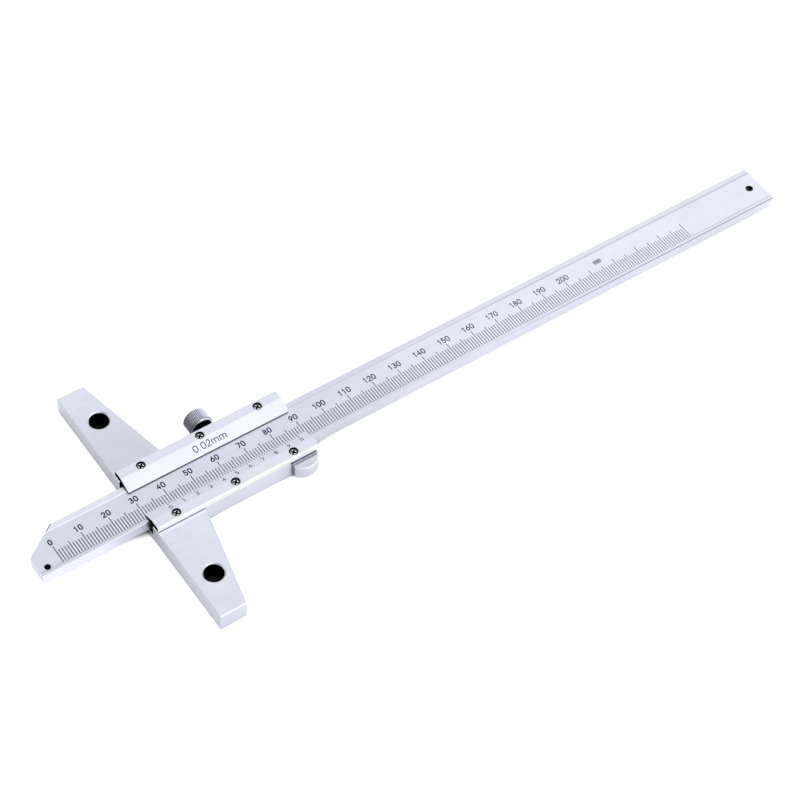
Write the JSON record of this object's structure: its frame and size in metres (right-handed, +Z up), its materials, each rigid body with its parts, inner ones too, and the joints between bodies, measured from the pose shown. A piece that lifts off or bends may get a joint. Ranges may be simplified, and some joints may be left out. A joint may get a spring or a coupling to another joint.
{
  "type": "vernier depth gauge",
  "caption": "Vernier depth gauge: a graduated beam slides through a winged base with a vernier plate, a knurled lock screw and a thumb rest.",
  "frame": {"origin": "on the underside of the base, midway between its two fixing holes; the reference face lies at x = -7 mm", "axes": "+X along the beam, away from its measuring tip; +Y across the beam, towards the lock screw; +Z up, out of the graduated face"},
  "size_m": [0.2948, 0.1, 0.0096],
  "materials": {
    "beam_steel": "satin, fine grain along the beam",
    "frame_steel": "fine ground, grain along the slide",
    "plate_steel": "satin",
    "screw_steel": "turned",
    "knob_steel": "knurled, bevels polished",
    "spring_steel": "rolled strip",
    "mark_black": "dark filled engraving"
  },
  "bodies": {
    "slider": {"slider_frame": "frame_steel", "upper_cover": "plate_steel", "vernier_plate": "plate_steel", "cover_screw_1": "screw_steel", "cover_screw_2": "screw_steel", "cover_screw_3": "screw_steel", "vernier_screw_1": "screw_steel", "vernier_screw_2": "screw_steel", "vernier_screw_3": "screw_steel", "leaf_spring": "spring_steel"},
    "beam": {"beam": "beam_steel", "stop_screw": "screw_steel"},
    "lock_screw": {"lock_screw": "knob_steel"}
  },
  "joints": [
    {"name": "beam_slide", "type": "slide", "parent": "slider", "child": "beam", "axis": [-1, 0, 0], "range_m": [-0.0378, 0.19]},
    {"name": "lock_turn", "type": "hinge", "parent": "slider", "child": "lock_screw", "pos_m": [0.0271, 0.015, 0.00532], "axis": [0, 1, 0], "range_deg": [0, 360]}
  ]
}
